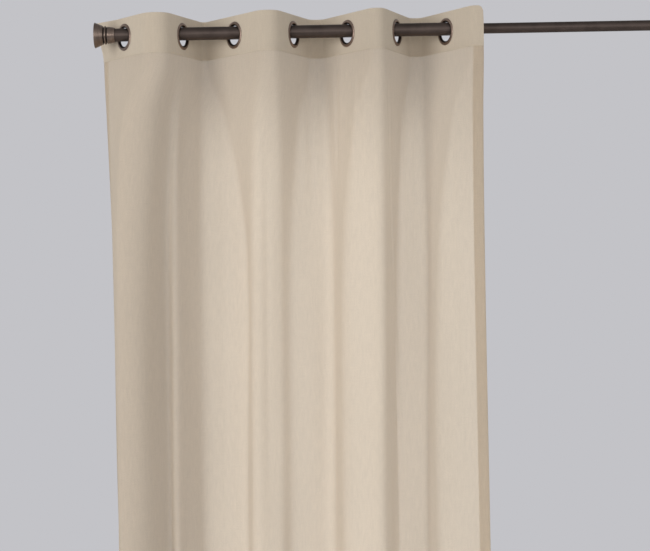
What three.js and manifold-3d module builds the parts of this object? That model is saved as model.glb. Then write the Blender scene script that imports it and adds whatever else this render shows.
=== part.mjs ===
// Eyelet curtain drawn along a two-part telescopic rod.
// Millimetres. +X along the rod to the right, +Y away from the room, +Z up.
// Origin: on the rod's axis, at the middle of its length.
import * as THREE from "three";
import { mergeVertices } from "three/addons/utils/BufferGeometryUtils.js";
import Module from "manifold-3d";

const wasm = await Module();
wasm.setup();

// ---------------------------------------------------------------- sizes
const ROD_LENGTH = 1219; // both tubes as drawn out, between their far ends
const TUBE_LENGTH = 711; // each tube
const OUTER_DIA = 25;
const OUTER_BORE = 21;
const INNER_DIA = 20;
const INNER_BORE = 17;
const ROD_SIDES = 32;

const FINIAL_LENGTH = 38.8;
const FINIAL_SOCKET = 10; // how far a tube goes into its finial
const GAP = 0.3; // between pieces that sit one in the other

const HEADING_DEPTH = 76;
const HEADING_THICK = 2.0;
const PANEL_THICK = 1.2;
const HEM_THICK = 2.4; // the cloth turned over
const HEM_STEP = 0.6; // width of the step from hem to single cloth
const SIDE_HEM = 20;
const BOTTOM_HEM = 75;
const DROP_LENGTH = 2134; // top edge to bottom edge
const PANEL_AT = -204; // the fold table's own zero, measured along the rod from its middle

const TOP_Z = 33; // the cloth's top edge above the rod's axis
const TOP_CORNER = 10; // rounding of the heading's right top corner

const EYELET_CLEAR = 0.5; // between an eyelet and the rod it hangs on
const EYELET_BORE = 36;
const EYELET_DIA = 52;
const EYELET_THICK = 6.4;
const BARREL_DIA = 42;
const CLOTH_HOLE = 43.2;
const EYELET_SIDES = 24;
const HOLE_SIDES = 24;

const SEAM_Z = TOP_Z - HEADING_DEPTH;
const HEM_Z = TOP_Z - DROP_LENGTH;

// ---------------------------------------------------------------- folds
// Plan of the cloth: a zigzag whose corners are rounded, so each section is
// lines and arcs. One row per fold line, from the left edge to the right;
// at each height, x and y of the corner and the radius that rounds it.
const LEVELS = { top: TOP_Z, seam: SEAM_Z, upper: -160, middle: -420, lower: -1000, hem: HEM_Z };
const fold = (name, ...heights) => ({ name, rows: heights.map(([x, y, r]) => ({ x, y, r })) });
const FOLDS = [
  //   fold: at the top, the seam, upper, middle, lower, the hem
  fold("edge_l", [-440.3, 70, 0], [-427, 80, 0], [-424, 78, 0], [-418, 76, 0], [-414.5, 75, 0], [-414, 74, 0]),
  fold("curl", [-394.3, 24, 30], [-394.3, 24, 30], [-405, 24, 30], [-408, 20, 30], [-407, 18, 30], [-406, 18, 30]),
  fold("front_1", [-329.2, -66, 36], [-329.2, -66, 36], [-372, -80, 34], [-390, -82, 28], [-394, -82, 26], [-392, -82, 26]),
  fold("shoulder", [-292.5, -68, 30], [-292.5, -68, 30], [-318, -82, 56], [-338, -82, 80], [-344, -82, 88], [-342, -82, 86]),
  fold("tuck", [-276.4, -27.2, 8], [-276.4, -27.2, 8], [-288, -8, 7], [-299, 14, 6], [-303, 20, 6], [-302, 18, 7]),
  fold("pleat", [-260.6, 12.8, 8], [-260.6, 12.8, 8], [-279, -20, 7], [-292, -28, 7], [-297, -32, 7], [-296, -30, 8]),
  fold("back_1", [-234.2, 80, 7], [-234.2, 80, 7], [-237, 66, 9], [-240, 54, 12], [-243, 52, 13], [-242, 52, 14]),
  fold("back_1b", [-225.1, 80, 7], [-225.1, 80, 7], [-190, 66, 12], [-152, 50, 12], [-159, 50, 13], [-158, 50, 16]),
  fold("front_2", [-113.4, -70, 25], [-113.4, -70, 25], [-126, -58, 20], [-137, -46, 13], [-146, -46, 13], [-145, -46, 16]),
  fold("front_2b", [-82.9, -70, 25], [-82.9, -70, 25], [-81, -46, 20], [-81, -17, 9], [-88, -16, 10], [-87, -20, 18]),
  fold("back_2", [-21.2, 73, 16], [-21.2, 73, 16], [-44, 44, 14], [-66, 17, 9], [-74, 16, 10], [-69, 20, 18]),
  fold("back_2b", [4.6, 73, 16], [4.6, 73, 16], [10, 62, 14], [16, 50, 15], [10, 50, 16], [10, 50, 18]),
  fold("front_3", [97.1, -70, 17], [97.1, -70, 17], [64, -58, 17], [35, -46, 15], [28, -46, 16], [28, -46, 18]),
  fold("front_3b", [118, -70, 17], [118, -70, 17], [116, -62, 17], [113, -52, 14], [105, -52, 15], [105, -52, 17]),
  fold("back_3", [176, 76.5, 14], [176, 76.5, 14], [159, 70, 12], [143, 60, 13], [135, 58, 14], [136, 56, 16]),
  fold("back_3b", [197.8, 76.5, 14], [197.8, 76.5, 14], [199, 66, 13], [200, 54, 14], [191, 54, 15], [192, 54, 17]),
  fold("front_4", [285.6, -78, 14], [285.6, -78, 14], [250, -62, 16], [216, -48, 16], [207, -46, 17], [208, -46, 18]),
  fold("edge_r", [306, -78, 0], [306, -78, 0], [304, -66, 0], [303, -52, 0], [304, -48, 0], [303, -46, 0]),
];
const SMALL_FOLDS = ["curl", "tuck", "pleat"];
const ARC_STEPS = 5;
const SMALL_ARC_STEPS = 3;
const HEM_STEPS = 5;
// Heights of the rows in between, closest where the folds change most.
const HEADING_ROWS = [10, -16];
const PANEL_ROWS = [-70, -100, -130, -160, -200, -250, -310, -420, -560, -780, -1000, -1300, -1600, -1850];

// ---------------------------------------------------------------- sections
const levelZ = Object.values(LEVELS);

// A fold line's value at height z: a cubic through the levels, upright at the top and the seam.
function along(values, z) {
  const last = levelZ.length - 1;
  if (z >= levelZ[0]) return values[0];
  if (z <= levelZ[last]) return values[last];
  let k = 0;
  while (z < levelZ[k + 1]) k++;
  const slope = (i) => {
    if (i <= 1) return 0;
    const a = i - 1;
    const b = Math.min(i + 1, last);
    return (values[b] - values[a]) / (levelZ[b] - levelZ[a]);
  };
  const h = levelZ[k + 1] - levelZ[k];
  const t = (z - levelZ[k]) / h;
  const t2 = t * t;
  const t3 = t2 * t;
  return (
    values[k] * (2 * t3 - 3 * t2 + 1) +
    slope(k) * h * (t3 - 2 * t2 + t) +
    values[k + 1] * (3 * t2 - 2 * t3) +
    slope(k + 1) * h * (t3 - t2)
  );
}

// Lines and arcs of the section at height z, with its depth times gain.
function section(z, gain) {
  const corners = FOLDS.map(({ rows }) => ({
    x: along(rows.map((row) => row.x), z) + PANEL_AT,
    y: along(rows.map((row) => row.y), z) * gain,
    r: along(rows.map((row) => row.r), z),
  }));
  const legs = corners.slice(1).map((b, i) => {
    const a = corners[i];
    const length = Math.hypot(b.x - a.x, b.y - a.y);
    return { length, tx: (b.x - a.x) / length, ty: (b.y - a.y) / length };
  });
  const turns = corners.map((c, i) => {
    if (i === 0 || i === corners.length - 1) return { angle: 0, reach: 0, share: 1 };
    const p = legs[i - 1];
    const q = legs[i];
    const angle = Math.atan2(p.tx * q.ty - p.ty * q.tx, p.tx * q.tx + p.ty * q.ty);
    return { angle, reach: c.r * Math.tan(Math.abs(angle) / 2), share: 1 };
  });
  // Two neighbouring roundings share a leg that is too short for both.
  legs.forEach(({ length }, i) => {
    const reach = turns[i].reach + turns[i + 1].reach;
    if (reach <= 0.98 * length) return;
    for (const turn of [turns[i], turns[i + 1]]) turn.share = Math.min(turn.share, (0.98 * length) / reach);
  });
  const runs = [];
  let from = corners[0];
  for (let i = 1; i < corners.length; i++) {
    const leg = legs[i - 1];
    const reach = turns[i].reach * turns[i].share;
    const to = { x: corners[i].x - leg.tx * reach, y: corners[i].y - leg.ty * reach };
    runs.push({ ...leg, length: Math.hypot(to.x - from.x, to.y - from.y), x: from.x, y: from.y, bend: 0 });
    if (i === corners.length - 1) break;
    const radius = Math.max(corners[i].r * turns[i].share, 1e-6);
    runs.push({
      ...leg,
      length: radius * Math.abs(turns[i].angle),
      x: to.x,
      y: to.y,
      bend: Math.sign(turns[i].angle) / radius,
    });
    from = { x: corners[i].x + legs[i].tx * reach, y: corners[i].y + legs[i].ty * reach };
  }
  return runs;
}
const lengthOf = (runs) => runs.reduce((sum, run) => sum + run.length, 0);

// Point and direction at distance s along a section.
function at(runs, s) {
  let k = 0;
  while (k < runs.length - 1 && s > runs[k].length) s -= runs[k++].length;
  const { x, y, tx, ty, bend } = runs[k];
  if (bend === 0) return { x: x + tx * s, y: y + ty * s, tx, ty };
  const a = s * bend;
  const f = Math.sin(a) / bend;
  const g = (1 - Math.cos(a)) / bend;
  return {
    x: x + tx * f - ty * g,
    y: y + ty * f + tx * g,
    tx: tx * Math.cos(a) - ty * Math.sin(a),
    ty: ty * Math.cos(a) + tx * Math.sin(a),
  };
}

// The flat width is the heading's own length; every lower section is made as long.
const PANEL_WIDTH = lengthOf(section(SEAM_Z, 1));
function hung(z) {
  let low = 0.6;
  let high = 1.6;
  for (let i = 0; i < 48; i++) {
    const gain = (low + high) / 2;
    if (lengthOf(section(z, gain)) < PANEL_WIDTH) low = gain;
    else high = gain;
  }
  return section(z, low);
}

// Distances along a section at which the cloth is divided, the same number in each.
function stations(runs) {
  const list = [
    { s: 0, hem: true },
    { s: SIDE_HEM, hem: true },
    { s: SIDE_HEM + HEM_STEP, hem: false },
  ];
  let s = runs[0].length;
  list.push({ s, hem: false });
  const lastArc = runs.length - 2;
  for (let i = 1; i < lastArc; i++) {
    const small = SMALL_FOLDS.includes(FOLDS[(i + 1) / 2]?.name);
    const steps = runs[i].bend === 0 ? 1 : small ? SMALL_ARC_STEPS : ARC_STEPS;
    for (let j = 1; j <= steps; j++) list.push({ s: s + (runs[i].length * j) / steps, hem: false });
    s += runs[i].length;
  }
  const width = lengthOf(runs);
  const inner = width - SIDE_HEM - HEM_STEP;
  for (let j = 1; j <= HEM_STEPS; j++) list.push({ s: s + ((inner - s) * j) / HEM_STEPS, hem: false });
  for (let j = 0; j <= HEM_STEPS; j++) list.push({ s: width - SIDE_HEM + (SIDE_HEM * j) / HEM_STEPS, hem: true });
  return list;
}

// ---------------------------------------------------------------- cloth
// Closed sheet through rows of {z(s), runs, front, back(hem)}: offsets from the middle of the cloth.
function sheet(rows) {
  const points = [];
  const faces = [];
  let columns = 0;
  for (const { z, runs, front, back } of rows) {
    const list = stations(runs);
    columns = list.length;
    for (const { s, hem } of list) {
      const { x, y, tx, ty } = at(runs, s);
      const b = back(hem);
      points.push(x + ty * front, y - tx * front, z(s), x - ty * b, y + tx * b, z(s));
    }
  }
  const id = (row, column, side) => 2 * (row * columns + column) + side;
  const quad = (a, b, c, d) => faces.push(a, b, c, a, c, d);
  const lastRow = rows.length - 1;
  const lastColumn = columns - 1;
  for (let i = 0; i < lastRow; i++) {
    for (let j = 0; j < lastColumn; j++) {
      quad(id(i, j, 0), id(i + 1, j, 0), id(i + 1, j + 1, 0), id(i, j + 1, 0));
      quad(id(i, j, 1), id(i, j + 1, 1), id(i + 1, j + 1, 1), id(i + 1, j, 1));
    }
    quad(id(i, 0, 1), id(i + 1, 0, 1), id(i + 1, 0, 0), id(i, 0, 0));
    quad(id(i, lastColumn, 0), id(i + 1, lastColumn, 0), id(i + 1, lastColumn, 1), id(i, lastColumn, 1));
  }
  for (let j = 0; j < lastColumn; j++) {
    quad(id(0, j, 1), id(0, j, 0), id(0, j + 1, 0), id(0, j + 1, 1));
    quad(id(lastRow, j, 0), id(lastRow, j, 1), id(lastRow, j + 1, 1), id(lastRow, j + 1, 0));
  }
  const geometry = new THREE.BufferGeometry();
  geometry.setAttribute("position", new THREE.Float32BufferAttribute(points, 3));
  geometry.setIndex(faces);
  return geometry;
}

const single = PANEL_THICK / 2;
const doubled = HEM_THICK - single;
const panelRows = [
  ...[SEAM_Z - GAP, ...PANEL_ROWS, HEM_Z + BOTTOM_HEM + HEM_STEP].map((z) => ({ z, hem: false })),
  ...[HEM_Z + BOTTOM_HEM, HEM_Z].map((z) => ({ z, hem: true })),
].map(({ z, hem: bottom }) => ({
  z: () => z,
  runs: hung(z),
  front: single,
  back: (hem) => (hem || bottom ? doubled : single),
}));
const panel = sheet(panelRows);

// How far the top edge falls at distance s, round its right corner.
function cornerFall(s) {
  const past = Math.max(0, s - (PANEL_WIDTH - TOP_CORNER));
  return TOP_CORNER - Math.sqrt(Math.max(0, TOP_CORNER ** 2 - past ** 2));
}
const headingRow = (z, thick, fall = () => 0) => ({
  z: (s) => z - fall(s),
  runs: section(z, 1),
  front: thick / 2,
  back: () => thick / 2,
});
const headingBlank = sheet([
  headingRow(TOP_Z, HEADING_THICK / 2, cornerFall),
  headingRow(TOP_Z - 0.8, HEADING_THICK, cornerFall),
  ...[...HEADING_ROWS, SEAM_Z].map((z) => headingRow(z, HEADING_THICK)),
]);

// Half an eyelet's section, from its bore outwards: radius, height above the middle of the cloth.
const CLASP = HEADING_THICK / 2 + GAP;
const EYELET_FACE = [
  [EYELET_BORE / 2 + 0.1, 0.6],
  [EYELET_BORE / 2 + 0.9, 1.6],
  [EYELET_BORE / 2 + 2.8, EYELET_THICK / 2 - 0.3],
  [EYELET_BORE / 2 + 4.4, EYELET_THICK / 2],
  [EYELET_DIA / 2 - 0.8, EYELET_THICK / 2 - 1],
  [EYELET_DIA / 2, CLASP + 0.3],
  [BARREL_DIA / 2, CLASP],
];

// How far below the rod's axis an eyelet comes to rest on the rod, given the cloth's direction there.
function hangs(tx, ty) {
  const clear = (drop) => {
    let least = Infinity;
    for (const [radius, height] of EYELET_FACE.slice(0, 4)) {
      for (const h of [height, -height]) {
        for (let a = 0; a < 360; a += 3) {
          const turn = (a * Math.PI) / 180;
          const y = radius * Math.cos(turn) * ty + h * tx;
          least = Math.min(least, Math.hypot(y, radius * Math.sin(turn) - drop));
        }
      }
    }
    return least - OUTER_DIA / 2;
  };
  let low = 0;
  let high = 8;
  for (let i = 0; i < 30; i++) {
    const drop = (low + high) / 2;
    if (clear(drop) > EYELET_CLEAR) low = drop;
    else high = drop;
  }
  return low;
}

// Eyelets sit where the heading crosses the rod's axis, flat on the cloth there.
const eyelets = [];
for (const run of section(SEAM_Z, 1)) {
  if (run.bend !== 0) continue;
  const s = -run.y / run.ty;
  if (s > 0 && s < run.length) {
    eyelets.push({ x: run.x + run.tx * s, tx: run.tx, ty: run.ty, drop: hangs(run.tx, run.ty) });
  }
}
const placed = (geometry, { x, tx, ty, drop }) =>
  geometry.applyMatrix4(
    new THREE.Matrix4()
      .makeBasis(new THREE.Vector3(tx, ty, 0), new THREE.Vector3(-ty, tx, 0), new THREE.Vector3(0, 0, 1))
      .setPosition(x, 0, -drop),
  );

// ---------------------------------------------------------------- cutting
function solidOf(geometry) {
  const clean = geometry.clone();
  clean.deleteAttribute("normal");
  clean.deleteAttribute("uv");
  const merged = mergeVertices(clean, 1e-4);
  return new wasm.Manifold(
    new wasm.Mesh({
      numProp: 3,
      vertProperties: new Float32Array(merged.attributes.position.array),
      triVerts: new Uint32Array(merged.index.array),
    }),
  );
}
function geometryOf(solid) {
  const mesh = solid.getMesh();
  const geometry = new THREE.BufferGeometry();
  geometry.setAttribute("position", new THREE.BufferAttribute(new Float32Array(mesh.vertProperties), 3));
  geometry.setIndex(new THREE.BufferAttribute(new Uint32Array(mesh.triVerts), 1));
  geometry.computeVertexNormals();
  return geometry;
}
let headingSolid = solidOf(headingBlank);
for (const eyelet of eyelets) {
  const hole = placed(new THREE.CylinderGeometry(CLOTH_HOLE / 2, CLOTH_HOLE / 2, 12, HOLE_SIDES), eyelet);
  headingSolid = headingSolid.subtract(solidOf(hole));
}

// ---------------------------------------------------------------- turned pieces
const profile = (rows) => rows.map(([radius, height]) => new THREE.Vector2(radius, height));

// Eyelet: a barrel with a rounded flange on each face of the cloth.
function eyeletGeometry() {
  const loop = [...EYELET_FACE, ...EYELET_FACE.map(([r, h]) => [r, -h]).reverse()];
  return new THREE.LatheGeometry(profile([...loop, loop[0]].reverse()), EYELET_SIDES);
}

// Finial: a flared cone with a ring between two grooves, hollow where the tube goes in.
function finialGeometry(tubeDia) {
  const socket = tubeDia / 2 + GAP + 0.1;
  const rows = [
    // radius, distance from the wide end
    [0, 0],
    [23.9, 0],
    [24.6, 0.7],
    [24.0, 2.2],
    [21.0, 9.0],
    [17.9, 16.4],
    [15.4, 17.0],
    [15.4, 18.9],
    [17.7, 19.5],
    [17.4, 22.1],
    [15.0, 22.7],
    [15.0, 24.5],
    [16.6, 25.1],
    [15.4, 32.0],
    [14.2, FINIAL_LENGTH],
    [socket, FINIAL_LENGTH],
    [socket, FINIAL_LENGTH - FINIAL_SOCKET - GAP],
    [0, FINIAL_LENGTH - FINIAL_SOCKET - GAP],
  ];
  return new THREE.LatheGeometry(profile(rows), ROD_SIDES);
}
function tubeGeometry(dia, bore) {
  const outer = dia / 2;
  const inner = bore / 2;
  const rows = [
    // radius, distance from the tube's left end
    [inner, 0],
    [outer - 0.4, 0],
    [outer, 0.4],
    [outer, TUBE_LENGTH - 0.4],
    [outer - 0.4, TUBE_LENGTH],
    [inner, TUBE_LENGTH],
    [inner, 0],
  ];
  return new THREE.LatheGeometry(profile(rows), ROD_SIDES);
}
const alongRod = (geometry, x, toRight = true) =>
  geometry.rotateZ(toRight ? -Math.PI / 2 : Math.PI / 2).translate(x, 0, 0);

// ---------------------------------------------------------------- the object
const cloth = new THREE.MeshStandardMaterial({ color: 0xcdc2ae, roughness: 0.95 });
const bronze = new THREE.MeshStandardMaterial({ color: 0x4a4038, roughness: 0.4, metalness: 0.8 });

const curtain = new THREE.Group();
function add(name, geometry, material) {
  const mesh = new THREE.Mesh(geometry, material);
  mesh.name = name;
  curtain.add(mesh);
}

const half = ROD_LENGTH / 2;
const finialAt = half - FINIAL_SOCKET + FINIAL_LENGTH;
add("curtain_panel", panel, cloth);
add("curtain_heading", geometryOf(headingSolid), cloth);
eyelets.forEach((eyelet, i) => add("eyelet_" + (i + 1), placed(eyeletGeometry(), eyelet), bronze));
add("rod_outer_tube", alongRod(tubeGeometry(OUTER_DIA, OUTER_BORE), -half), bronze);
add("rod_inner_tube", alongRod(tubeGeometry(INNER_DIA, INNER_BORE), half - TUBE_LENGTH), bronze);
add("finial_left", alongRod(finialGeometry(OUTER_DIA), -finialAt), bronze);
add("finial_right", alongRod(finialGeometry(INNER_DIA), finialAt, false), bronze);

export default curtain;
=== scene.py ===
import math

import bmesh
import bpy
import numpy as np
from mathutils import Matrix, Vector


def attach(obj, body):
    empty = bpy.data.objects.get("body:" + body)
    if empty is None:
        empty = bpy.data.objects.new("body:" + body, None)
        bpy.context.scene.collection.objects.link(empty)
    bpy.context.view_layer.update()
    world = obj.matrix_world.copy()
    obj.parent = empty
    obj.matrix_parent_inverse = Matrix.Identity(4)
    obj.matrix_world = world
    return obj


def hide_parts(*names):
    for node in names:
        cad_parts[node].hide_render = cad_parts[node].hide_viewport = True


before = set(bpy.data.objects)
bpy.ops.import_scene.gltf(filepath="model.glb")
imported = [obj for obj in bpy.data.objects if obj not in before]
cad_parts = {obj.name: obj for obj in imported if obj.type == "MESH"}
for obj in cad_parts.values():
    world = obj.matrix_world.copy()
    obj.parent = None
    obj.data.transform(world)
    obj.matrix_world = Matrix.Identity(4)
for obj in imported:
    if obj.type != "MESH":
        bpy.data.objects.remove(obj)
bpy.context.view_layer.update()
MM = 0.001

# ------------------------------------------------------------------ sizes, mm
ROD_HALF = 609.5
TUBE_LENGTH = 711.0
OUTER_R, OUTER_BORE_R = 12.5, 10.5
INNER_R, INNER_BORE_R = 10.0, 8.5
FINIAL_LENGTH, FINIAL_SOCKET = 38.8, 10.0
HEADING_DEPTH = 76.0
EYELET_CLEAR = 0.5  # between an eyelet and the rod it hangs on
TOP_CORNER = 10.0
DROP_LENGTH = 2134.0
SIDE_HEM, BOTTOM_HEM = 20.0, 75.0
PANEL_AT = -204.0
TOP_Z = 33.0
SEAM_Z = TOP_Z - HEADING_DEPTH
HEM_Z = TOP_Z - DROP_LENGTH
LAP = 11.0  # how far the panel goes up between the heading's two layers

# camera: level with the upper folds, straight on, turned a little about its own axis
CAM_D = 3400.0
CAM_DOWN = 469.6
CAM_ROLL = -1.05
LENS = 97.9

# ------------------------------------------------------------------ folds
# The plan of the cloth at six heights: corner x, y and rounding of each fold line.
LEVELS = [TOP_Z, SEAM_Z, -160.0, -420.0, -1000.0, HEM_Z]
FOLDS = {
    "edge_l": [(-440.3, 70, 0), (-427, 80, 0), (-424, 78, 0), (-418, 76, 0), (-414.5, 75, 0), (-414, 74, 0)],
    "curl": [(-394.3, 24, 30), (-394.3, 24, 30), (-405, 24, 30), (-408, 20, 30), (-407, 18, 30), (-406, 18, 30)],
    "front_1": [(-329.2, -66, 36), (-329.2, -66, 36), (-372, -80, 34), (-390, -82, 28), (-394, -82, 26), (-392, -82, 26)],
    "shoulder": [(-292.5, -68, 30), (-292.5, -68, 30), (-318, -82, 56), (-338, -82, 80), (-344, -82, 88), (-342, -82, 86)],
    "tuck": [(-276.4, -27.2, 8), (-276.4, -27.2, 8), (-288, -8, 7), (-299, 14, 6), (-303, 20, 6), (-302, 18, 7)],
    "pleat": [(-260.6, 12.8, 8), (-260.6, 12.8, 8), (-279, -20, 7), (-292, -28, 7), (-297, -32, 7), (-296, -30, 8)],
    "back_1": [(-234.2, 80, 7), (-234.2, 80, 7), (-237, 66, 9), (-240, 54, 12), (-243, 52, 13), (-242, 52, 14)],
    "back_1b": [(-225.1, 80, 7), (-225.1, 80, 7), (-190, 66, 12), (-152, 50, 12), (-159, 50, 13), (-158, 50, 16)],
    "front_2": [(-113.4, -70, 25), (-113.4, -70, 25), (-126, -58, 20), (-137, -46, 13), (-146, -46, 13), (-145, -46, 16)],
    "front_2b": [(-82.9, -70, 25), (-82.9, -70, 25), (-81, -46, 20), (-81, -17, 9), (-88, -16, 10), (-87, -20, 18)],
    "back_2": [(-21.2, 73, 16), (-21.2, 73, 16), (-44, 44, 14), (-66, 17, 9), (-74, 16, 10), (-69, 20, 18)],
    "back_2b": [(4.6, 73, 16), (4.6, 73, 16), (10, 62, 14), (16, 50, 15), (10, 50, 16), (10, 50, 18)],
    "front_3": [(97.1, -70, 17), (97.1, -70, 17), (64, -58, 17), (35, -46, 15), (28, -46, 16), (28, -46, 18)],
    "front_3b": [(118, -70, 17), (118, -70, 17), (116, -62, 17), (113, -52, 14), (105, -52, 15), (105, -52, 17)],
    "back_3": [(176, 76.5, 14), (176, 76.5, 14), (159, 70, 12), (143, 60, 13), (135, 58, 14), (136, 56, 16)],
    "back_3b": [(197.8, 76.5, 14), (197.8, 76.5, 14), (199, 66, 13), (200, 54, 14), (191, 54, 15), (192, 54, 17)],
    "front_4": [(285.6, -78, 14), (285.6, -78, 14), (250, -62, 16), (216, -48, 16), (207, -46, 17), (208, -46, 18)],
    "edge_r": [(306, -78, 0), (306, -78, 0), (304, -66, 0), (303, -52, 0), (304, -48, 0), (303, -46, 0)],
}
NAMES = list(FOLDS)


def along(values, z):
    last = len(LEVELS) - 1
    if z >= LEVELS[0]:
        return values[0]
    if z <= LEVELS[last]:
        return values[last]
    k = 0
    while z < LEVELS[k + 1]:
        k += 1

    def slope(i):
        if i <= 1:
            return 0.0
        a, b = i - 1, min(i + 1, last)
        return (values[b] - values[a]) / (LEVELS[b] - LEVELS[a])

    h = LEVELS[k + 1] - LEVELS[k]
    t = (z - LEVELS[k]) / h
    return (
        values[k] * (2 * t**3 - 3 * t * t + 1)
        + slope(k) * h * (t**3 - 2 * t * t + t)
        + values[k + 1] * (3 * t * t - 2 * t**3)
        + slope(k + 1) * h * (t**3 - t * t)
    )


def section(z, gain):
    """Lines and arcs of the plan at height z: rows of x, y, tx, ty, length, bend."""
    corners = [tuple(along([row[c] for row in FOLDS[n]], z) for c in range(3)) for n in NAMES]
    corners = [(x + PANEL_AT, y * gain, r) for x, y, r in corners]
    legs = []
    for (ax, ay, _), (bx, by, _) in zip(corners, corners[1:]):
        d = math.hypot(bx - ax, by - ay)
        legs.append((d, (bx - ax) / d, (by - ay) / d))
    n = len(corners)
    angle, reach, share = [0.0] * n, [0.0] * n, [1.0] * n
    for i in range(1, n - 1):
        _, px, py = legs[i - 1]
        _, qx, qy = legs[i]
        angle[i] = math.atan2(px * qy - py * qx, px * qx + py * qy)
        reach[i] = corners[i][2] * math.tan(abs(angle[i]) / 2)
    for i in range(n - 1):
        both = reach[i] + reach[i + 1]
        if both > 0.98 * legs[i][0]:
            for j in (i, i + 1):
                share[j] = min(share[j], 0.98 * legs[i][0] / both)
    runs, anchors = [], {NAMES[0]: 0.0}
    at_x, at_y = corners[0][:2]
    total = 0.0
    for i in range(1, n):
        _, tx, ty = legs[i - 1]
        go = reach[i] * share[i]
        ex, ey = corners[i][0] - tx * go, corners[i][1] - ty * go
        d = math.hypot(ex - at_x, ey - at_y)
        runs.append((at_x, at_y, tx, ty, d, 0.0))
        total += d
        if i == n - 1:
            anchors[NAMES[i]] = total
            break
        radius = max(corners[i][2] * share[i], 1e-6)
        d = radius * abs(angle[i])
        runs.append((ex, ey, tx, ty, d, math.copysign(1, angle[i]) / radius))
        anchors[NAMES[i]] = total + d / 2
        total += d
        _, ux, uy = legs[i]
        at_x, at_y = corners[i][0] + ux * go, corners[i][1] + uy * go
    return runs, anchors, total


WIDTH = section(SEAM_Z, 1.0)[2]


def hung(z):
    """The section at height z, its depth set so that it is as long as the cloth is wide."""
    low, high = 0.6, 1.6
    for _ in range(40):
        gain = (low + high) / 2
        if section(z, gain)[2] < WIDTH:
            low = gain
        else:
            high = gain
    return section(z, low)


def sample(runs, s):
    x, y = np.zeros_like(s), np.zeros_like(s)
    start = 0.0
    for i, (rx, ry, tx, ty, length, bend) in enumerate(runs):
        last = i == len(runs) - 1
        inside = (s >= start) & ((s < start + length) | last)
        d = s[inside] - start
        if bend == 0.0:
            x[inside], y[inside] = rx + tx * d, ry + ty * d
        else:
            a = d * bend
            f, g = np.sin(a) / bend, (1 - np.cos(a)) / bend
            x[inside], y[inside] = rx + tx * f - ty * g, ry + ty * f + tx * g
        start += length
    return x, y


STEP = 2.0
S = np.linspace(0.0, WIDTH, int(WIDTH / STEP) + 1)
DS = S[1] - S[0]


def soften(v, sigma):
    """Evens a row out along the cloth, without moving its ends."""
    reach = int(4 * sigma / DS) + 1
    k = np.exp(-0.5 * (np.arange(-reach, reach + 1) * DS / sigma) ** 2)
    k /= k.sum()
    left = 2 * v[0] - v[reach:0:-1]
    right = 2 * v[-1] - v[-2 : -reach - 2 : -1]
    return np.convolve(np.concatenate([left, v, right]), k, mode="valid")


def ease(a, b, t):
    t = min(max((t - a) / (b - a), 0.0), 1.0)
    return t * t * (3 - 2 * t)


# Creases set on the folds: between two fold lines, x across the cloth at two heights, depth (to the back), half width,
# and where it starts, is full, fades and ends.
CREASES = [
    # between              (z, x) upper   (z, x) lower    depth width  start full  fade   end
    ("back_1", "back_1b", (-130, -190), (-1000, -200), 1.2, 9.0, -120, -300, -700, -1200),
    ("front_2", "front_2b", (-150, -108), (-900, -116), 1.0, 7.0, -150, -350, -600, -1000),
    ("front_2b", "back_2b", (-100, -23), (-325, -20), 2.5, 8.0, -45, -90, -200, -360),
    ("back_2", "front_3", (-100, 29), (-325, 27), 1.5, 7.0, -45, -90, -200, -360),
    ("back_2b", "front_3b", (-120, 70), (-420, 74), 1.8, 8.0, -60, -140, -260, -420),
    ("front_3b", "back_3", (-130, 128), (-1000, 136), 2.0, 5.0, -60, -140, -900, -1400),
    ("back_3", "back_3b", (-130, 165), (-520, 166), 2.2, 6.5, -55, -110, -330, -560),
    ("front_4", "edge_r", (-130, 262), (-700, 268), 1.2, 8.0, -100, -250, -600, -900),
]


def row_at(z):
    """x and y of the cloth's middle across its width, at height z."""
    runs, anchors, _ = hung(z) if z < SEAM_Z else section(z, 1.0)
    x, y = sample(runs, S)
    below = ease(SEAM_Z, SEAM_Z - 160.0, z)
    sigma = 3.0 + 3.5 * below
    x, y = soften(x, sigma), soften(y, sigma)
    if z >= SEAM_Z:
        return x, y
    tx, ty = np.gradient(x, DS), np.gradient(y, DS)
    length = np.hypot(tx, ty)
    tx, ty = tx / length, ty / length
    push = np.zeros_like(S)
    seen = (x - PANEL_AT) * CAM_D / (CAM_D + y)
    for a, b, (z0, x0), (z1, x1), depth, width, start, full, fade, end in CREASES:
        amount = ease(start, full, z) * (1 - ease(fade, end, z))
        if amount <= 0:
            continue
        t = min(max((z - z0) / (z1 - z0), 0.0), 1.0)
        want = x0 + (x1 - x0) * t
        part = (S >= anchors[a]) & (S <= anchors[b])
        here = S[part][np.argmin(np.abs(seen[part] - want))]
        q = (S - here) / width
        push += amount * depth * (np.exp(-q * q) - 0.45 * np.exp(-((q - 1.7) ** 2)) - 0.45 * np.exp(-((q + 1.7) ** 2)))
    # the cloth's own slight unevenness
    slack = ease(SEAM_Z, SEAM_Z - 220.0, z)
    push += slack * 0.9 * np.sin(S / 23.0 + 1.7 * np.sin(z / 310.0)) * np.sin(z / 190.0 + S / 140.0)
    push += slack * 0.6 * np.sin(S / 11.5 + z / 420.0 + 0.8) * np.sin(z / 120.0 - S / 200.0 + 2.0)
    return x - ty * push, y + tx * push


ROW_Z = np.concatenate([[TOP_Z + 2.0], np.linspace(TOP_Z, SEAM_Z, 13), np.arange(SEAM_Z - 6.0, HEM_Z, -8.0), [HEM_Z - 2.0]])
GRID = [row_at(z) for z in ROW_Z]
GX = np.array([g[0] for g in GRID])
GY = np.array([g[1] for g in GRID])
_tx = np.gradient(GX, DS, axis=1)
_ty = np.gradient(GY, DS, axis=1)
_l = np.hypot(_tx, _ty)
GTX, GTY = _tx / _l, _ty / _l


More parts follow.
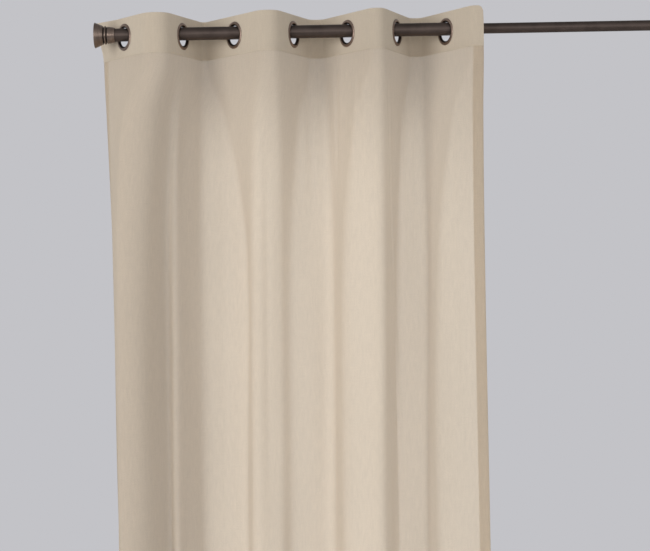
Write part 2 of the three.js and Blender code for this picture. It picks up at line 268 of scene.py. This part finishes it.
def cloth(s, z, off=0.0):
    """Points on the cloth: s along it, height z, off to its back. Arrays of the same shape."""
    s, z, off = np.broadcast_arrays(np.asarray(s, float), np.asarray(z, float), np.asarray(off, float))
    over = np.where(s < 0, s, np.where(s > WIDTH, s - WIDTH, 0.0))
    c = np.clip(s, 0, WIDTH) / DS
    j = np.minimum(c.astype(int), len(S) - 2)
    fj = c - j
    r = np.interp(-z, -ROW_Z, np.arange(len(ROW_Z)))
    i = np.minimum(r.astype(int), len(ROW_Z) - 2)
    fi = r - i

    def mix(g):
        a = g[i, j] * (1 - fj) + g[i, j + 1] * fj
        b = g[i + 1, j] * (1 - fj) + g[i + 1, j + 1] * fj
        return a * (1 - fi) + b * fi

    tx, ty = mix(GTX), mix(GTY)
    x = mix(GX) + tx * over - ty * off
    y = mix(GY) + ty * over + tx * off
    return np.stack([x, y, z], axis=-1), np.stack([tx, ty, np.zeros_like(tx)], axis=-1)


# ------------------------------------------------------------------ mesh helpers
def new_object(name, verts, faces, smooth=True, uv=None):
    mesh = bpy.data.meshes.new(name)
    mesh.from_pydata((np.asarray(verts) * MM).tolist(), [], faces)
    if smooth:
        mesh.shade_smooth()
    if uv is not None:
        layer = mesh.uv_layers.new(name="cloth")
        index = np.empty(len(mesh.loops), dtype=np.int32)
        mesh.loops.foreach_get("vertex_index", index)
        layer.data.foreach_set("uv", (np.asarray(uv)[index] * MM).astype(np.float32).ravel())
    mesh.validate()
    mesh.update()
    obj = bpy.data.objects.new(name, mesh)
    bpy.context.scene.collection.objects.link(obj)
    return obj


def grid_faces(rows, columns):
    i, j = np.meshgrid(np.arange(rows - 1), np.arange(columns - 1), indexing="ij")
    a = (i * columns + j).ravel()
    return np.stack([a, a + columns, a + columns + 1, a + 1], axis=1)


def lathe(name, profile, sides, axis_matrix, closed):
    """Turned piece: profile rows of radius and height, round Z of axis_matrix."""
    p = np.asarray(profile, float)
    turn = np.linspace(0, 2 * np.pi, sides, endpoint=False)
    verts = np.stack(
        [
            p[:, None, 0] * np.cos(turn)[None, :],
            p[:, None, 0] * np.sin(turn)[None, :],
            np.repeat(p[:, None, 1], sides, axis=1),
        ],
        axis=-1,
    ).reshape(-1, 3)
    n = len(p)
    faces = []
    for i in range(n if closed else n - 1):
        k = (i + 1) % n
        for j in range(sides):
            m = (j + 1) % sides
            faces.append((i * sides + j, i * sides + m, k * sides + m, k * sides + j))
    m4 = np.array(axis_matrix)
    verts = verts @ m4[:3, :3].T + m4[:3, 3]
    obj = new_object(name, verts, faces)
    bm = bmesh.new()
    bm.from_mesh(obj.data)
    bmesh.ops.remove_doubles(bm, verts=bm.verts, dist=1e-7)
    bmesh.ops.recalc_face_normals(bm, faces=bm.faces)
    bm.to_mesh(obj.data)
    bm.free()
    obj.data.shade_smooth()
    return obj


def rounded(points, radius, steps=4):
    """A profile with each inner corner rounded."""
    out = [points[0]]
    for a, b, c in zip(points, points[1:], points[2:]):
        a, b, c = np.array(a, float), np.array(b, float), np.array(c, float)
        u, v = a - b, c - b
        lu, lv = np.linalg.norm(u), np.linalg.norm(v)
        d = min(radius, 0.45 * lu, 0.45 * lv)
        p, q = b + u / lu * d, b + v / lv * d
        for t in np.linspace(0, 1, steps + 1):
            out.append(tuple((1 - t) ** 2 * p + 2 * t * (1 - t) * b + t * t * q))
    out.append(points[-1])
    return out


# ------------------------------------------------------------------ materials
class Nodes:
    """Short way to add and link shader nodes."""

    def __init__(self, name):
        self.material = bpy.data.materials.new(name)
        self.material.use_nodes = True
        self.tree = self.material.node_tree
        self.tree.nodes.clear()
        self.out = self.add("ShaderNodeOutputMaterial")

    def add(self, kind, **values):
        node = self.tree.nodes.new(kind)
        for key, value in values.items():
            if key in node.inputs:
                self.put(node.inputs[key], value)
            else:
                setattr(node, key, value)
        return node

    def put(self, socket, value):
        if isinstance(value, bpy.types.NodeSocket):
            self.tree.links.new(value, socket)
        else:
            socket.default_value = value

    def math(self, op, a, b=0.0, clamp=False):
        node = self.add("ShaderNodeMath", operation=op, use_clamp=clamp)
        self.put(node.inputs[0], a)
        self.put(node.inputs[1], b)
        return node.outputs[0]

    def streaks(self, coords, scale, detail=2.0, rough=0.55):
        mapping = self.add("ShaderNodeMapping")
        self.put(mapping.inputs["Vector"], coords)
        mapping.inputs["Scale"].default_value = scale
        noise = self.add("ShaderNodeTexNoise", Scale=1.0, Detail=detail, Roughness=rough)
        self.put(noise.inputs["Vector"], mapping.outputs[0])
        return noise.outputs[0]


def cloth_material(name, colour, glow, sheer, through, uneven=0.05):
    """Open plain weave of uneven yarn. colour: by light from the front; glow: by light through it;
    sheer: share that is open; through: share of the rest let through."""
    n = Nodes(name)
    uv = n.add("ShaderNodeUVMap", uv_map="cloth").outputs[0]
    warp = n.streaks(uv, (1400.0, 30.0, 1.0))
    weft = n.streaks(uv, (34.0, 1400.0, 1.0))
    crinkle = n.streaks(uv, (190.0, 42.0, 1.0), 3.0)
    grain = n.streaks(uv, (620.0, 520.0, 1.0), 3.0)
    cloud = n.streaks(uv, (7.0, 3.0, 1.0), 2.0)
    yarn = n.math("ADD", n.math("ADD", warp, n.math("MULTIPLY", weft, 0.7)), n.math("ADD", n.math("MULTIPLY", crinkle, 0.8), n.math("MULTIPLY", grain, 1.5)))
    yarn = n.math("MULTIPLY", yarn, 0.25)

    def tone(base):
        ramp = n.add("ShaderNodeValToRGB")
        n.put(ramp.inputs[0], yarn)
        ramp.color_ramp.elements[0].position = 0.36
        ramp.color_ramp.elements[0].color = (*[c * (1 - 1.2 * uneven) for c in base], 1)
        ramp.color_ramp.elements[1].position = 0.64
        ramp.color_ramp.elements[1].color = (*[min(c * (1 + uneven), 0.95) for c in base], 1)
        tint = n.add("ShaderNodeHueSaturation")
        n.put(tint.inputs["Color"], ramp.outputs[0])
        n.put(tint.inputs["Value"], n.math("ADD", n.math("MULTIPLY", cloud, 0.08), 0.96))
        return tint.outputs[0]

    bump = n.add("ShaderNodeBump", Strength=0.2, Distance=0.0004)
    n.put(bump.inputs["Height"], yarn)
    diffuse = n.add("ShaderNodeBsdfDiffuse", Roughness=0.6)
    n.put(diffuse.inputs["Color"], tone(colour))
    n.put(diffuse.inputs["Normal"], bump.outputs[0])
    translucent = n.add("ShaderNodeBsdfTranslucent")
    n.put(translucent.inputs["Color"], tone(glow))
    n.put(translucent.inputs["Normal"], bump.outputs[0])
    body = n.add("ShaderNodeMixShader", Fac=through)
    n.put(body.inputs[1], diffuse.outputs[0])
    n.put(body.inputs[2], translucent.outputs[0])
    clear = n.add("ShaderNodeBsdfTransparent")
    hole = n.add("ShaderNodeMapRange")
    n.put(hole.inputs["Value"], yarn)
    hole.inputs["From Min"].default_value = 0.34
    hole.inputs["From Max"].default_value = 0.66
    hole.inputs["To Min"].default_value = 1 - sheer * 1.4
    hole.inputs["To Max"].default_value = 1 - sheer * 0.6
    whole = n.add("ShaderNodeMixShader")
    n.put(whole.inputs["Fac"], hole.outputs[0])
    n.put(whole.inputs[1], clear.outputs[0])
    n.put(whole.inputs[2], body.outputs[0])
    n.put(n.out.inputs["Surface"], whole.outputs[0])
    return n.material


def thread_material(name, colour):
    n = Nodes(name)
    where = n.add("ShaderNodeTexCoord").outputs["Object"]
    twist = n.streaks(where, (2200.0, 2200.0, 2200.0), 1.0)
    ramp = n.add("ShaderNodeValToRGB")
    n.put(ramp.inputs[0], twist)
    ramp.color_ramp.elements[0].color = (*[c * 0.8 for c in colour], 1)
    ramp.color_ramp.elements[1].color = (*[min(c * 1.15, 0.95) for c in colour], 1)
    shader = n.add("ShaderNodeBsdfPrincipled", Roughness=0.8)
    n.put(shader.inputs["Base Color"], ramp.outputs[0])
    n.put(n.out.inputs["Surface"], shader.outputs[0])
    return n.material


def metal_material(name, dark, light, rough, brush):
    """Satin bronze finish, brushed along brush, rubbed lighter in places."""
    n = Nodes(name)
    where = n.add("ShaderNodeTexCoord").outputs["Object"]
    lines = n.streaks(where, brush, 3.0)
    patch = n.streaks(where, (38.0, 38.0, 38.0), 3.0)
    mixed = n.math("ADD", n.math("MULTIPLY", lines, 0.45), n.math("MULTIPLY", patch, 0.55))
    ramp = n.add("ShaderNodeValToRGB")
    n.put(ramp.inputs[0], mixed)
    ramp.color_ramp.elements[0].position = 0.34
    ramp.color_ramp.elements[0].color = (*dark, 1)
    ramp.color_ramp.elements[1].position = 0.68
    ramp.color_ramp.elements[1].color = (*light, 1)
    gloss = n.add("ShaderNodeMapRange")
    n.put(gloss.inputs["Value"], mixed)
    gloss.inputs["From Min"].default_value = 0.3
    gloss.inputs["From Max"].default_value = 0.7
    gloss.inputs["To Min"].default_value = rough - 0.06
    gloss.inputs["To Max"].default_value = rough + 0.10
    bump = n.add("ShaderNodeBump", Strength=0.12, Distance=0.0002)
    n.put(bump.inputs["Height"], lines)
    shader = n.add("ShaderNodeBsdfPrincipled", Metallic=0.85)
    n.put(shader.inputs["Base Color"], ramp.outputs[0])
    n.put(shader.inputs["Roughness"], gloss.outputs[0])
    n.put(shader.inputs["Normal"], bump.outputs[0])
    n.put(n.out.inputs["Surface"], shader.outputs[0])
    return n.material


LINEN = (0.69, 0.588, 0.470)
GLOW = (0.80, 0.745, 0.655)
cloth_panel = cloth_material("linen_panel", LINEN, GLOW, 0.08, 0.30)
cloth_heading = cloth_material("linen_heading", (0.72, 0.635, 0.525), GLOW, 0.03, 0.15)
thread = thread_material("thread", tuple(c * 1.08 for c in LINEN))
rod_metal = metal_material("rod_bronze", (0.070, 0.053, 0.047), (0.125, 0.096, 0.085), 0.46, (6.0, 900.0, 900.0))
ring_metal = metal_material("eyelet_bronze", (0.20, 0.145, 0.12), (0.40, 0.30, 0.25), 0.34, (420.0, 420.0, 420.0))
# painted shade: near-black bronze that stands in for the shade inside the eyelets' bores
bore_painted_shade = metal_material("eyelet_bore_painted_shade", (0.028, 0.020, 0.017), (0.06, 0.045, 0.038), 0.5, (420.0, 420.0, 420.0))
finial_metal = metal_material("finial_bronze", (0.15, 0.112, 0.093), (0.33, 0.255, 0.215), 0.30, (900.0, 60.0, 60.0))
# painted shade: near-black bronze that stands in for the shade in the finial's two grooves
finial_groove_painted_shade = metal_material("finial_groove_painted_shade", (0.03, 0.022, 0.018), (0.06, 0.046, 0.04), 0.5, (900.0, 60.0, 60.0))


def finish(obj, material, slot, *nodes):
    obj.data.materials.clear()
    obj.data.materials.append(material)
    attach(obj, "root")
    if nodes:
        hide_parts(*nodes)
    return obj


def second(obj, material, picked):
    """A second material, here the painted shade, on the faces whose middle, in mm, is picked."""
    obj.data.materials.append(material)
    for face in obj.data.polygons:
        if picked(*(face.center / MM)):
            face.material_index = 1


# ------------------------------------------------------------------ panel
FLAP = 0.8  # from one layer of a hem to the next
column_s = np.linspace(0.0, WIDTH, 322)
flap_s = np.linspace(SIDE_HEM, 0.5, 6)
s_list = np.concatenate([flap_s, [-0.25], column_s, [WIDTH + 0.25], WIDTH - flap_s[::-1]])
side_layer = np.concatenate([np.full(6, 1.0), [0.5], np.zeros(len(column_s)), [0.5], np.full(6, 1.0)])
flat_u = np.concatenate([-flap_s, [-0.25], column_s, [WIDTH + 0.25], WIDTH + flap_s[::-1]])
row_z = np.concatenate([np.linspace(SEAM_Z + LAP, SEAM_Z - 100.0, 18), np.arange(SEAM_Z - 109.0, HEM_Z + 4.0, -9.2), [HEM_Z]])
flap_z = np.linspace(HEM_Z + 0.6, HEM_Z + BOTTOM_HEM, 10)
z_list = np.concatenate([row_z, [HEM_Z - 0.3], flap_z])
bottom_layer = np.concatenate([np.zeros(len(row_z)), [0.5], np.ones(len(flap_z))])
flat_v = np.concatenate([row_z, [HEM_Z - 0.3], 2 * HEM_Z - flap_z])
ss, zz = np.meshgrid(s_list, z_list)
side, bottom = np.meshgrid(side_layer, bottom_layer)
off = FLAP * side + bottom * FLAP * (3.0 - 2.0 * side)
points, _ = cloth(ss, np.maximum(zz, HEM_Z - 0.3), off)
uu, vv = np.meshgrid(flat_u, flat_v)
panel = new_object(
    "panel_cloth",
    points.reshape(-1, 3),
    grid_faces(len(z_list), len(s_list)).tolist(),
    uv=np.stack([uu, vv], -1).reshape(-1, 2),
)
finish(panel, cloth_panel, "cloth", "curtain_panel")

# ------------------------------------------------------------------ heading
RING_FACE = [
    (18.0, 0.0), (18.15, 0.6), (18.6, 1.3), (19.5, 2.2), (20.8, 2.9), (22.4, 3.2), (24.0, 2.95), (25.3, 2.3), (26.0, 1.6), (25.75, 1.3), (21.0, 1.3),
]


def hangs(tx, ty):
    """How far below the rod's axis an eyelet comes to rest, its bore EYELET_CLEAR off the rod."""
    turn = np.radians(np.arange(0.0, 360.0, 3.0))[None, :]
    rows = np.array(RING_FACE[:6] + [(r, -h) for r, h in RING_FACE[:6]])
    y = rows[:, :1] * np.cos(turn) * ty + rows[:, 1:] * tx
    z = rows[:, :1] * np.sin(turn)
    low, high = 0.0, 8.0
    for _ in range(30):
        drop = (low + high) / 2
        if np.hypot(y, z - drop).min() - OUTER_R > EYELET_CLEAR:
            low = drop
        else:
            high = drop
    return low


eyelet_at = []
for rx, ry, tx, ty, length, bend in section(SEAM_Z, 1.0)[0]:
    if bend == 0.0 and abs(ty) > 1e-6:
        d = -ry / ty
        if 0 < d < length:
            eyelet_at.append((rx + tx * d, tx, ty, hangs(tx, ty)))
head_x, head_y = row_at(-4.5)
eyelet_s = []
for x, _, _, drop in eyelet_at:
    eyelet_s.append((float(S[np.argmin(np.hypot(head_x - x, head_y))]), drop))
HALF = 0.8  # of the heading's doubled cloth
HOLE = 22.6
fold_profile = [(-0.35, SEAM_Z - 0.1), (-0.62, SEAM_Z + 0.1), (-HALF, SEAM_Z + 0.7)]
rise = np.linspace(SEAM_Z + 2.4, TOP_Z - 1.6, 36)
fold_profile += [(-HALF, z) for z in rise]
fold_profile += [(-HALF, TOP_Z - 0.9), (-0.66, TOP_Z - 0.3), (-0.3, TOP_Z), (0.3, TOP_Z), (0.66, TOP_Z - 0.3), (HALF, TOP_Z - 0.9)]
fold_profile += [(HALF, z) for z in rise[::-1]]
fold_profile += [(HALF, SEAM_Z + 0.7), (0.62, SEAM_Z + 0.1), (0.35, SEAM_Z - 0.1)]
prof = np.array(fold_profile)
head_s = np.concatenate([[-0.45, -0.2], np.linspace(0.3, WIDTH - 0.3, 606), [WIDTH + 0.2, WIDTH + 0.45]])
pinch = np.ones(len(head_s))
pinch[[0, -1]] = 0.25
pinch[[1, -2]] = 0.75
ss, zz = np.meshgrid(head_s, prof[:, 1])
oo = np.outer(prof[:, 0], pinch)
keep = np.ones((len(prof) - 1, len(head_s) - 1), bool)
mid_s = (ss[:-1, :-1] + ss[1:, 1:]) / 2
mid_z = (zz[:-1, :-1] + zz[1:, 1:]) / 2
for es, drop in eyelet_s:
    keep &= np.hypot(mid_s - es, mid_z + drop) > HOLE
# the edge of each hole is drawn to a circle
used = np.zeros(ss.shape, bool)
gone = np.zeros(ss.shape, bool)
for di in (0, 1):
    for dj in (0, 1):
        view = (slice(di, ss.shape[0] - 1 + di), slice(dj, ss.shape[1] - 1 + dj))
        used[view] |= keep
        gone[view] |= ~keep
rim = used & gone
for es, drop in eyelet_s:
    dx, dz = ss - es, zz + drop
    d = np.hypot(dx, dz)
    near = rim & (d < HOLE + 6)
    ss = np.where(near, es + dx / np.maximum(d, 1e-6) * HOLE, ss)
    zz = np.where(near, -drop + dz / np.maximum(d, 1e-6) * HOLE, zz)
# the right top corner is rounded
past = np.clip(ss - (WIDTH - TOP_CORNER), 0.0, TOP_CORNER)
fall = TOP_CORNER - np.sqrt(TOP_CORNER**2 - past**2)
zz = zz - fall * np.clip((zz - TOP_Z + 26.0) / 26.0, 0.0, 1.0)
points, _ = cloth(ss, zz, oo)
faces = grid_faces(len(prof), len(head_s))[keep.ravel()]
number = -np.ones(used.size, int)
number[used.ravel()] = np.arange(used.sum())
arc_v = np.concatenate([[0], np.cumsum(np.hypot(*np.diff(prof, axis=0).T))])
uu = np.broadcast_to(head_s[None, :], ss.shape)
vv = np.broadcast_to(arc_v[:, None], ss.shape)
heading = new_object(
    "heading_cloth",
    points.reshape(-1, 3)[used.ravel()],
    number[faces].tolist(),
    uv=np.stack([uu, vv], -1).reshape(-1, 2)[used.ravel()],
)
finish(heading, cloth_heading, "heading", "curtain_heading")

# ------------------------------------------------------------------ stitching
def stitch_line(s_path, z_path, off, length=2.7, gap=1.1, radius=0.26):
    """Short threads along a line on the cloth, each end sunk into it."""
    p, t = cloth(s_path, z_path, off)
    d = np.concatenate([[0], np.cumsum(np.linalg.norm(np.diff(p, axis=0), axis=1))])
    count = int(d[-1] / (length + gap))
    verts, faces = [], []
    shape = [(-0.5, 0.25, -0.35), (-0.36, 0.9, 0.1), (0.0, 1.0, 0.25), (0.36, 0.9, 0.1), (0.5, 0.25, -0.35)]
    for k in range(count):
        mid = (k + 0.5) * (length + gap)
        base = len(verts)
        for pos, fat, lift in shape:
            a = np.clip(mid + pos * length, 0, d[-1])
            at = np.array([np.interp(a, d, p[:, c]) for c in range(3)])
            b = np.clip(a + 0.5, 0, d[-1])
            to = np.array([np.interp(b, d, p[:, c]) for c in range(3)]) - np.array(
                [np.interp(b - 1.0, d, p[:, c]) for c in range(3)]
            )
            to /= np.linalg.norm(to)
            tan = np.array([np.interp(a, d, t[:, c]) for c in range(3)])
            out = np.array([tan[1], -tan[0], 0.0])
            out /= np.linalg.norm(out)
            across = np.cross(to, out)
            for q in range(5):
                ang = 2 * math.pi * q / 5
                verts.append(at + out * (lift * radius + radius * fat * math.cos(ang)) + across * radius * fat * math.sin(ang))
        for i in range(len(shape) - 1):
            for q in range(5):
                r = (q + 1) % 5
                faces.append((base + 5 * i + q, base + 5 * i + r, base + 5 * i + 5 + r, base + 5 * i + 5 + q))
        faces.append(tuple(base + q for q in range(4, -1, -1)))
        faces.append(tuple(base + 20 + q for q in range(5)))
    return verts, faces


def stitches(name, lines, slot):
    verts, faces = [], []
    for args in lines:
        v, f = stitch_line(*args)
        faces += [tuple(i + len(verts) for i in face) for face in f]
        verts += v
    obj = new_object(name, verts, faces)
    bm = bmesh.new()
    bm.from_mesh(obj.data)
    bmesh.ops.recalc_face_normals(bm, faces=bm.faces)
    bm.to_mesh(obj.data)
    bm.free()
    obj.data.shade_smooth()
    return finish(obj, thread, slot)


run_s = np.linspace(4.0, WIDTH - 4.0, 900)
run_z = np.linspace(SEAM_Z - 4.0, HEM_Z + 4.0, 900)
head_thread = stitches("heading_stitching", [(run_s, np.full(900, SEAM_Z + 2.6), -HALF)], "heading")
hem_thread = stitches(
    "hem_stitching",
    [
        (np.full(900, SIDE_HEM - 1.8), run_z, 0.0),
        (np.full(900, WIDTH - SIDE_HEM + 1.8), run_z, 0.0),
        (run_s, np.full(900, HEM_Z + BOTTOM_HEM - 2.0), 0.0),
    ],
    "cloth",
)

# ------------------------------------------------------------------ eyelets
ring = rounded(RING_FACE, 0.6, 3)
ring_loop = ring + [(r, -h) for r, h in ring[::-1]][:-1]
for k, (x, tx, ty, drop) in enumerate(eyelet_at):
    m = Matrix(((tx, 0, -ty, x), (ty, 0, tx, 0), (0, 1, 0, -drop), (0, 0, 0, 1)))
    obj = lathe(f"eyelet_ring_{k + 1}", ring_loop, 96, m, True)
    finish(obj, ring_metal, "eyelet_metal", f"eyelet_{k + 1}")
    # painted shade: the bore faces, within 21 mm of the eyelet's axis, take the near-black bronze as the ring's shaded
    # inside
    second(obj, bore_painted_shade, lambda px, py, pz: math.hypot((px - x) * tx + py * ty, pz + drop) < 21.0)

# ------------------------------------------------------------------ rod
def along_rod(x, right=True):
    f = 1 if right else -1
    return Matrix(((0, 0, f, x), (0, 1, 0, 0), (-f, 0, 0, 0), (0, 0, 0, 1)))


def tube(name, outer, bore, x, node):
    loop = [(bore, 0.0), (bore, TUBE_LENGTH)]
    lip = rounded([(bore, TUBE_LENGTH), (outer, TUBE_LENGTH), (outer, TUBE_LENGTH - 5.0)], 0.7, 4)[1:]
    body = [(outer, TUBE_LENGTH * f) for f in np.linspace(0.95, 0.05, 10)]
    low = rounded([(outer, 5.0), (outer, 0.0), (bore, 0.0)], 0.7, 4)[:-1]
    obj = lathe(name, loop + lip + body + low, 96, along_rod(x), True)
    return finish(obj, rod_metal, "rod_metal", node)


tube("tube_outer", OUTER_R, OUTER_BORE_R, -ROD_HALF, "rod_outer_tube")
tube("tube_inner", INNER_R, INNER_BORE_R, ROD_HALF - TUBE_LENGTH, "rod_inner_tube")


# the groove bands, which also take the painted shade
FINIAL_GROOVES = [(16.6, 19.2), (22.3, 24.8)]  # from the wide end


def finial(name, tube_r, x, right, node):
    socket = tube_r + 0.4
    rows = [
        (0.0, 0.0), (14.0, 0.0), (23.9, 0.0), (24.6, 0.7), (24.0, 2.2), (21.0, 9.0), (17.9, 16.4),
        (15.4, 17.0), (15.4, 18.9), (17.7, 19.5), (17.4, 22.1), (15.0, 22.7), (15.0, 24.5),
        (16.6, 25.1), (15.4, 32.0), (14.2, FINIAL_LENGTH), (socket, FINIAL_LENGTH),
        (socket, FINIAL_LENGTH - FINIAL_SOCKET - 0.3), (0.0, FINIAL_LENGTH - FINIAL_SOCKET - 0.3),
    ]
    obj = lathe(name, rounded(rows, 0.45, 3), 96, along_rod(x, right), False)
    finish(obj, finial_metal, "finial_metal", node)
    # painted shade: the faces of the two groove bands take the near-black bronze as shade in the grooves
    second(obj, finial_groove_painted_shade, lambda px, py, pz: math.hypot(py, pz) > 13.5 and any(p < abs(px - x) < q for p, q in FINIAL_GROOVES))
    return obj


finial_at = ROD_HALF - FINIAL_SOCKET + FINIAL_LENGTH
finial("finial_turned_left", OUTER_R, -finial_at, True, "finial_left")
finial("finial_turned_right", INNER_R, finial_at, False, "finial_right")

# ------------------------------------------------------------------ stage
floor_z = HEM_Z - 12.0
floor = new_object("floor", [(-9000, -9000, floor_z), (9000, -9000, floor_z), (9000, 3500, floor_z), (-9000, 3500, floor_z)], [(0, 1, 2, 3)], smooth=False)
n = Nodes("floor_pale")
shader = n.add("ShaderNodeBsdfPrincipled", Roughness=0.7)
shader.inputs["Base Color"].default_value = (0.74, 0.73, 0.72, 1)
n.put(n.out.inputs["Surface"], shader.outputs[0])
floor.data.materials.append(n.material)

world = bpy.data.worlds.new("studio")
bpy.context.scene.world = world
world.use_nodes = True
wt = world.node_tree
wt.nodes.clear()


def world_node(kind, **values):
    node = wt.nodes.new(kind)
    for key, value in values.items():
        setattr(node, key, value)
    return node


def world_ramp(socket, low, high, stops):
    """Grey steps over a direction's component, from low to high."""
    span = world_node("ShaderNodeMapRange")
    span.inputs["From Min"].default_value = low
    span.inputs["From Max"].default_value = high
    wt.links.new(socket, span.inputs["Value"])
    ramp = world_node("ShaderNodeValToRGB")
    ramp.color_ramp.interpolation = "EASE"
    while len(ramp.color_ramp.elements) < len(stops):
        ramp.color_ramp.elements.new(0.5)
    for element, (place, value) in zip(ramp.color_ramp.elements, stops):
        element.position = (place - low) / (high - low)
        element.color = (value, value, value, 1)
    wt.links.new(span.outputs[0], ramp.inputs[0])
    return ramp.outputs[0]


# soft light all round, strongest from the room's side and level with the rod; the backdrop is pale and plain
ROOM = 1.0
direction = world_node("ShaderNodeSeparateXYZ")
wt.links.new(world_node("ShaderNodeTexCoord").outputs["Generated"], direction.inputs[0])
facing = world_ramp(direction.outputs["Y"], -1.0, 1.0, [(-0.75, 0.78), (-0.4, 0.62), (0.0, 0.42), (0.6, 0.55)])
height = world_ramp(direction.outputs["Z"], -1.0, 1.0, [(-0.7, 0.45), (-0.15, 0.85), (0.2, 1.0), (0.75, 0.55)])
both = world_node("ShaderNodeMath", operation="MULTIPLY")
wt.links.new(facing, both.inputs[0])
wt.links.new(height, both.inputs[1])
room = world_node("ShaderNodeBackground")
wt.links.new(both.outputs[0], room.inputs["Color"])
room.inputs["Strength"].default_value = ROOM
backdrop = world_node("ShaderNodeBackground")
backdrop.inputs["Color"].default_value = (0.545, 0.545, 0.572, 1)
seen = world_node("ShaderNodeMixShader")
wt.links.new(world_node("ShaderNodeLightPath").outputs["Is Camera Ray"], seen.inputs["Fac"])
wt.links.new(room.outputs[0], seen.inputs[1])
wt.links.new(backdrop.outputs[0], seen.inputs[2])
wt.links.new(seen.outputs[0], world_node("ShaderNodeOutputWorld").inputs["Surface"])


def softbox(name, place, aim, wide, high, power, colour=(1, 1, 1), spread=180.0):
    light = bpy.data.lights.new(name, "AREA")
    light.shape = "RECTANGLE"
    light.size, light.size_y = wide, high
    light.energy = power
    light.color = colour
    light.spread = math.radians(spread)
    obj = bpy.data.objects.new(name, light)
    bpy.context.scene.collection.objects.link(obj)
    obj.location = place
    obj.rotation_euler = (Vector(aim) - Vector(place)).to_track_quat("-Z", "Y").to_euler()
    obj.visible_camera = False
    return obj


LIGHTS = [
    # name      place               aim                  wide  high  power  colour             spread
    ("left", (-2.6, -2.4, -0.1), (-0.25, 0.0, -0.7), 1.4, 1.8, 34.0, (1.0, 0.98, 0.95), 180.0),
    ("front", (-0.3, -4.2, -0.1), (-0.25, 0.0, -0.6), 1.8, 1.2, 18.0, (1.0, 0.98, 0.95), 180.0),
    ("right", (2.2, -2.8, -0.1), (-0.25, 0.0, -0.8), 1.4, 1.8, 8.0, (1.0, 0.98, 0.95), 180.0),
    ("behind", (-0.17, 0.26, -1.15), (-0.17, 0.0, -1.15), 0.60, 2.0, 3.6, (1.0, 0.98, 0.95), 85.0),
    ("side", (1.0, 0.7, -0.9), (-0.1, 0.05, -0.9), 0.8, 1.8, 1.5, (1.0, 0.98, 0.95), 180.0),
]
for row in LIGHTS:
    softbox(*row)

# ------------------------------------------------------------------ camera
cam = bpy.data.cameras.new("camera")
cam.sensor_fit = "HORIZONTAL"
cam.sensor_width = 36.0
cam.lens = LENS
cam.clip_end = 60.0
cam_obj = bpy.data.objects.new("camera", cam)
bpy.context.scene.collection.objects.link(cam_obj)
cam_obj.matrix_world = (
    Matrix.Translation((PANEL_AT * MM, -CAM_D * MM, -CAM_DOWN * MM))
    @ Matrix.Rotation(math.radians(90), 4, "X")
    @ Matrix.Rotation(math.radians(CAM_ROLL), 4, "Z")
)
bpy.context.scene.camera = cam_obj
bpy.context.scene.view_settings.view_transform = "Standard"

bpy.context.view_layer.update()
